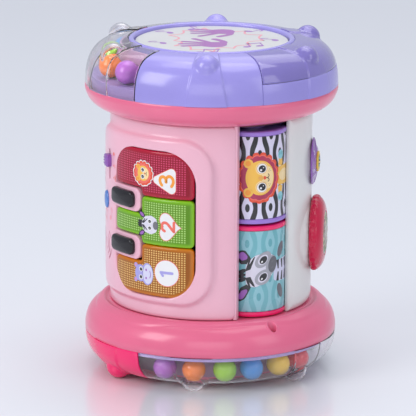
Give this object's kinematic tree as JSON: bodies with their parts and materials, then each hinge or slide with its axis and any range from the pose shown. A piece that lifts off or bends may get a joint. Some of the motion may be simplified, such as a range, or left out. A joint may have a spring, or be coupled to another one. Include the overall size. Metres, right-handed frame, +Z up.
{
  "type": "baby activity drum",
  "caption": "Upright activity drum: translucent keyboard, printed rollers, spinner and dial on a column between round flanges with rolling balls and a drum pad.",
  "frame": {"origin": "middle of the base, at floor level under the feet", "axes": "+Z up the column; -Y is the front, +X is the white side panel"},
  "size_m": [0.21, 0.2124, 0.2805],
  "materials": {
    "pink_shell": "satin moulded pink with a faint speckle",
    "hot_pink_cover": "glossy deep pink",
    "light_pink_shell": "satin moulded light pink",
    "white_shell": "satin moulded white",
    "clear_plastic": "clear polished",
    "tinted_plastic": "translucent purple, polished",
    "purple_cover": "glossy opaque purple",
    "lavender_tray": "fine matt",
    "mauve_tray": "fine matt",
    "dark_bay": "dark matt",
    "frame_plastic": "unseen structural plastic",
    "base_plate": "fine matt underside",
    "door_plastic": "ribbed finger grip",
    "red_key": "translucent red with a fine dotted texture",
    "green_key": "translucent green with a fine dotted texture",
    "orange_key": "translucent orange with a fine dotted texture",
    "black_key": "glossy dark purple",
    "purple_control": "glossy purple",
    "blue_button": "glossy blue",
    "pad_white": "satin white with printed hands",
    "roller_purple": "glossy purple rims",
    "roller_pink": "glossy deep pink rims",
    "lion_print": "printed sleeve, gloss varnish",
    "zebra_print": "printed sleeve, gloss varnish",
    "spinner_purple": "glossy purple",
    "spinner_yellow": "glossy yellow ring with a dark pattern",
    "dial_red": "glossy red",
    "dial_texture": "moulded texture",
    "ball_purple": "polished solid colour",
    "ball_orange": "polished solid colour",
    "ball_green": "polished solid colour",
    "ball_blue": "polished solid colour",
    "ball_yellow": "polished solid colour",
    "ball_red": "polished solid colour",
    "steel": "bright zinc plated",
    "battery_wrap": "plain wrapped cells",
    "nickel_contact": "nickel plated",
    "circuit_green": "solder mask",
    "switch_rubber": "soft silicone",
    "speaker_metal": "pressed steel",
    "speaker_paper": "pressed paper cone"
  },
  "bodies": {
    "case": {"base_ball_tray": "lavender_tray", "base_bottom_plate": "base_plate", "base_cover_pink": "hot_pink_cover", "base_flange": "pink_shell", "base_screws": "steel", "base_window_clear": "clear_plastic", "batteries": "battery_wrap", "battery_contacts": "nickel_contact", "battery_door": "door_plastic", "black_keys": "black_key", "body_back_shell": "light_pink_shell", "body_front_shell": "light_pink_shell", "body_screws": "steel", "control_board": "circuit_green", "core_frame": "frame_plastic", "key_hinge_pin": "steel", "key_switch_domes": "switch_rubber", "main_board": "circuit_green", "pad_springs": "steel", "pad_switch": "circuit_green", "roller_axle": "steel", "roller_bay": "dark_bay", "roller_washers": "steel", "side_axles": "steel", "side_panel": "white_shell", "speaker_cone": "speaker_paper", "speaker_frame": "speaker_metal", "top_ball_tray": "mauve_tray", "top_cover": "purple_cover", "top_flange": "pink_shell", "top_screws": "steel", "top_window_clear": "clear_plastic", "top_window_tinted": "tinted_plastic"},
    "pad": {"drum_pad": "pad_white", "pad_stops": "steel"},
    "red_key": {"key_red": "red_key"},
    "green_key": {"key_green": "green_key"},
    "orange_key": {"key_orange": "orange_key"},
    "slider": {"power_slider": "purple_control"},
    "button": {"mode_button": "blue_button"},
    "upper_roller": {"roller_upper": "roller_purple", "roller_upper_print": "lion_print"},
    "lower_roller": {"roller_lower": "roller_pink", "roller_lower_print": "zebra_print"},
    "spinner": {"spinner": "spinner_purple", "spinner_cap": "spinner_yellow"},
    "dial": {"dial": "dial_red", "dial_face": "dial_texture"},
    "base_purple": {"base_ball_purple": "ball_purple"},
    "base_orange": {"base_ball_orange": "ball_orange"},
    "base_green": {"base_ball_green": "ball_green"},
    "base_blue": {"base_ball_blue": "ball_blue"},
    "base_yellow": {"base_ball_yellow": "ball_yellow"},
    "base_red": {"base_ball_red": "ball_red"},
    "top_purple": {"top_ball_purple": "ball_purple"},
    "top_orange": {"top_ball_orange": "ball_orange"},
    "top_green": {"top_ball_green": "ball_green"},
    "top_blue": {"top_ball_blue": "ball_blue"},
    "top_yellow": {"top_ball_yellow": "ball_yellow"}
  },
  "joints": [
    {"name": "pad_press", "type": "slide", "parent": "case", "child": "pad", "axis": [0, 0, -1], "range_m": [0, 0.003], "stiffness_N_per_m": 400, "springref_m": -0.008, "deforming": ["pad_springs"]},
    {"name": "red_key_press", "type": "hinge", "parent": "case", "child": "red_key", "pos_m": [-0.06608, -0.04049, 0.1735], "axis": [0, 0, 1], "range_deg": [0, 1.5], "stiffness_Nm_per_rad": 3, "springref_deg": -1.15},
    {"name": "green_key_press", "type": "hinge", "parent": "case", "child": "green_key", "pos_m": [-0.06608, -0.04049, 0.1345], "axis": [0, 0, 1], "range_deg": [0, 1.5], "stiffness_Nm_per_rad": 3, "springref_deg": -1.15},
    {"name": "orange_key_press", "type": "hinge", "parent": "case", "child": "orange_key", "pos_m": [-0.06608, -0.04049, 0.094], "axis": [0, 0, 1], "range_deg": [0, 1.5], "stiffness_Nm_per_rad": 3, "springref_deg": -1.15},
    {"name": "power_slide", "type": "slide", "parent": "case", "child": "slider", "axis": [0, 0, 1], "range_m": [-0.01, 0.004]},
    {"name": "mode_press", "type": "slide", "parent": "case", "child": "button", "axis": [0.9455, 0.3256, 0], "range_m": [0, 0.002], "stiffness_N_per_m": 300, "springref_m": -0.002},
    {"name": "upper_roller_spin", "type": "hinge", "parent": "case", "child": "upper_roller", "pos_m": [0.03785, -0.04059, 0.1749], "axis": [0, 0, 1], "continuous": true},
    {"name": "lower_roller_spin", "type": "hinge", "parent": "case", "child": "lower_roller", "pos_m": [0.03785, -0.04059, 0.0963], "axis": [0, 0, 1], "continuous": true},
    {"name": "spinner_spin", "type": "hinge", "parent": "case", "child": "spinner", "pos_m": [0.0866, 0, 0.1757], "axis": [1, 0, 0], "continuous": true},
    {"name": "dial_spin", "type": "hinge", "parent": "case", "child": "dial", "pos_m": [0.089, 0, 0.1148], "axis": [1, 0, 0], "continuous": true},
    {"name": "base_purple_roll", "type": "hinge", "parent": "case", "child": "base_purple", "pos_m": [0, 0, 0.017], "axis": [0, 0, 1], "continuous": true},
    {"name": "base_orange_roll", "type": "hinge", "parent": "case", "child": "base_orange", "pos_m": [0, 0, 0.017], "axis": [0, 0, 1], "continuous": true},
    {"name": "base_green_roll", "type": "hinge", "parent": "case", "child": "base_green", "pos_m": [0, 0, 0.017], "axis": [0, 0, 1], "continuous": true},
    {"name": "base_blue_roll", "type": "hinge", "parent": "case", "child": "base_blue", "pos_m": [0, 0, 0.017], "axis": [0, 0, 1], "continuous": true},
    {"name": "base_yellow_roll", "type": "hinge", "parent": "case", "child": "base_yellow", "pos_m": [0, 0, 0.017], "axis": [0, 0, 1], "continuous": true},
    {"name": "base_red_roll", "type": "hinge", "parent": "case", "child": "base_red", "pos_m": [0, 0, 0.017], "axis": [0, 0, 1], "continuous": true},
    {"name": "top_purple_roll", "type": "hinge", "parent": "case", "child": "top_purple", "pos_m": [0, 0, 0.2584], "axis": [0, 0, 1], "continuous": true},
    {"name": "top_orange_roll", "type": "hinge", "parent": "case", "child": "top_orange", "pos_m": [0, 0, 0.2584], "axis": [0, 0, 1], "continuous": true},
    {"name": "top_green_roll", "type": "hinge", "parent": "case", "child": "top_green", "pos_m": [0, 0, 0.2584], "axis": [0, 0, 1], "continuous": true},
    {"name": "top_blue_roll", "type": "hinge", "parent": "case", "child": "top_blue", "pos_m": [0, 0, 0.2584], "axis": [0, 0, 1], "continuous": true},
    {"name": "top_yellow_roll", "type": "hinge", "parent": "case", "child": "top_yellow", "pos_m": [0, 0, 0.2584], "axis": [0, 0, 1], "continuous": true}
  ],
  "couplings": [
    {"joint": "base_orange_roll", "follows": "base_purple_roll", "ratio": 1},
    {"joint": "base_green_roll", "follows": "base_purple_roll", "ratio": 1},
    {"joint": "base_blue_roll", "follows": "base_purple_roll", "ratio": 1},
    {"joint": "base_yellow_roll", "follows": "base_purple_roll", "ratio": 1},
    {"joint": "base_red_roll", "follows": "base_purple_roll", "ratio": 1},
    {"joint": "top_orange_roll", "follows": "top_purple_roll", "ratio": 1},
    {"joint": "top_green_roll", "follows": "top_purple_roll", "ratio": 1},
    {"joint": "top_blue_roll", "follows": "top_purple_roll", "ratio": 1},
    {"joint": "top_yellow_roll", "follows": "top_purple_roll", "ratio": 1}
  ]
}
